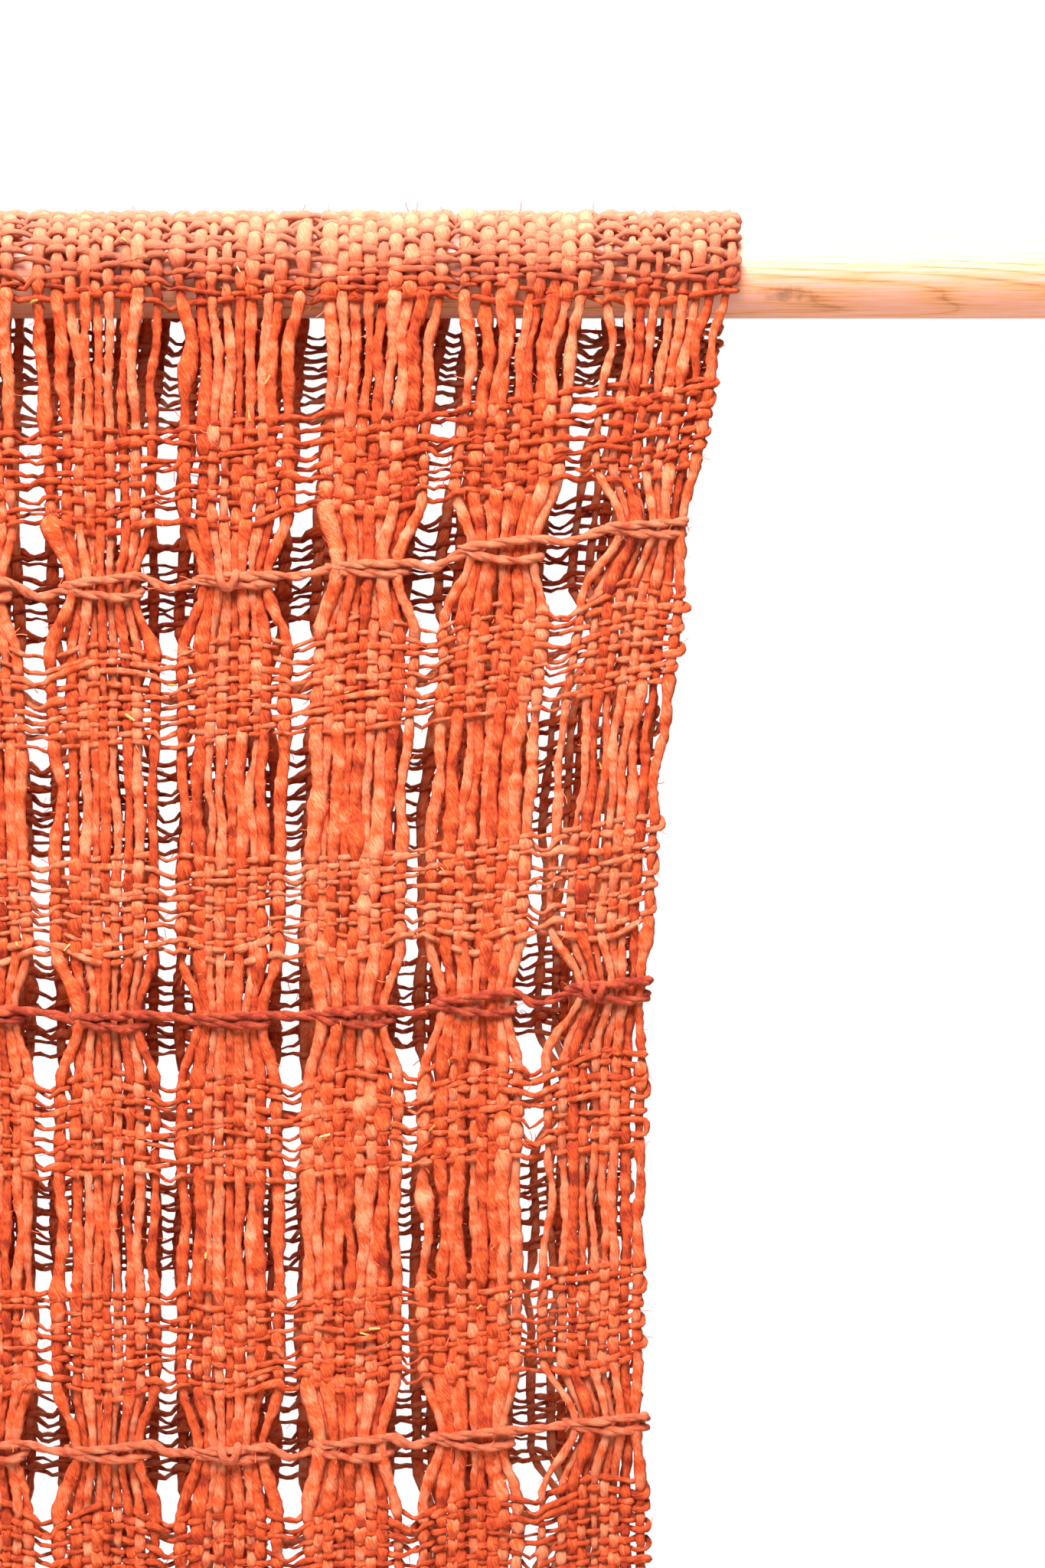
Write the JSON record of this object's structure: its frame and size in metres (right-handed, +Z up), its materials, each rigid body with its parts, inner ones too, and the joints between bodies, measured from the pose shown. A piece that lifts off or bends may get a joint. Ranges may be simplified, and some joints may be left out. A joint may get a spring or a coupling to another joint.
{
  "type": "tapestry wall hanging",
  "caption": "Openwork handwoven cotton cloth folded in two over a round wooden rod, gathered by tie yarns and ended in knotted tassels, with bare rod either side to hang it by.",
  "frame": {"origin": "middle of the rod's axis, where the hanging is held up", "axes": "+X along the rod to the right as seen from the room, -Y out from the wall towards the room, +Z up"},
  "size_m": [0.55, 0.049, 0.648],
  "materials": {
    "rod_wood": "bare sanded hardwood dowel",
    "warp_cotton": "thick handspun slub cotton, rust orange",
    "weft_cotton": "thin handspun cotton, rust orange",
    "tie_cotton": "doubled cotton strand, brick red"
  },
  "bodies": {
    "rod": {"rod": "rod_wood"},
    "saddle": {"cloth_over_rod": "warp_cotton"},
    "front_fall": {"front_bundle_1": "warp_cotton", "front_bundle_2": "warp_cotton", "front_bundle_3": "warp_cotton", "front_bundle_4": "warp_cotton", "front_bundle_5": "warp_cotton", "front_bundle_6": "warp_cotton", "front_bundle_7": "warp_cotton", "front_bundle_8": "warp_cotton", "front_weft_band_1": "weft_cotton", "front_weft_band_2": "weft_cotton", "front_weft_band_3": "weft_cotton", "front_weft_band_4": "weft_cotton", "front_weft_band_5": "weft_cotton", "front_weft_band_6": "weft_cotton", "front_weft_band_7": "weft_cotton", "front_weft_band_8": "weft_cotton", "front_tie_1": "tie_cotton", "front_tie_2": "tie_cotton", "front_tie_3": "tie_cotton", "front_tie_4": "tie_cotton"},
    "front_fringe": {"front_tassel_1": "warp_cotton", "front_tassel_2": "warp_cotton", "front_tassel_3": "warp_cotton", "front_tassel_4": "warp_cotton", "front_tassel_5": "warp_cotton", "front_tassel_6": "warp_cotton", "front_tassel_7": "warp_cotton", "front_tassel_8": "warp_cotton"},
    "back_fall": {"back_bundle_1": "warp_cotton", "back_bundle_2": "warp_cotton", "back_bundle_3": "warp_cotton", "back_bundle_4": "warp_cotton", "back_bundle_5": "warp_cotton", "back_bundle_6": "warp_cotton", "back_bundle_7": "warp_cotton", "back_bundle_8": "warp_cotton", "back_weft_band_1": "weft_cotton", "back_weft_band_2": "weft_cotton", "back_weft_band_3": "weft_cotton", "back_weft_band_4": "weft_cotton", "back_weft_band_5": "weft_cotton", "back_weft_band_6": "weft_cotton", "back_weft_band_7": "weft_cotton", "back_weft_band_8": "weft_cotton", "back_weft_band_9": "weft_cotton", "back_tie_1": "tie_cotton", "back_tie_2": "tie_cotton", "back_tie_3": "tie_cotton", "back_tie_4": "tie_cotton"},
    "back_fringe": {"back_tassel_1": "warp_cotton", "back_tassel_2": "warp_cotton", "back_tassel_3": "warp_cotton", "back_tassel_4": "warp_cotton", "back_tassel_5": "warp_cotton", "back_tassel_6": "warp_cotton", "back_tassel_7": "warp_cotton", "back_tassel_8": "warp_cotton"}
  },
  "joints": [
    {"name": "cloth_slide", "type": "slide", "parent": "rod", "child": "saddle", "axis": [1, 0, 0], "range_m": [-0.09, 0.09]},
    {"name": "front_swing", "type": "hinge", "parent": "saddle", "child": "front_fall", "pos_m": [0, -0.016, -0.012], "axis": [-1, 0, 0], "range_deg": [-0.5, 60]},
    {"name": "front_fringe_swing", "type": "hinge", "parent": "front_fall", "child": "front_fringe", "pos_m": [0, -0.016, -0.5253], "axis": [-1, 0, 0], "range_deg": [-1, 30]},
    {"name": "back_swing", "type": "hinge", "parent": "saddle", "child": "back_fall", "pos_m": [0, 0.016, -0.012], "axis": [1, 0, 0], "range_deg": [-0.5, 60]},
    {"name": "back_fringe_swing", "type": "hinge", "parent": "back_fall", "child": "back_fringe", "pos_m": [0, 0.016, -0.5563], "axis": [1, 0, 0], "range_deg": [-1, 30]}
  ]
}
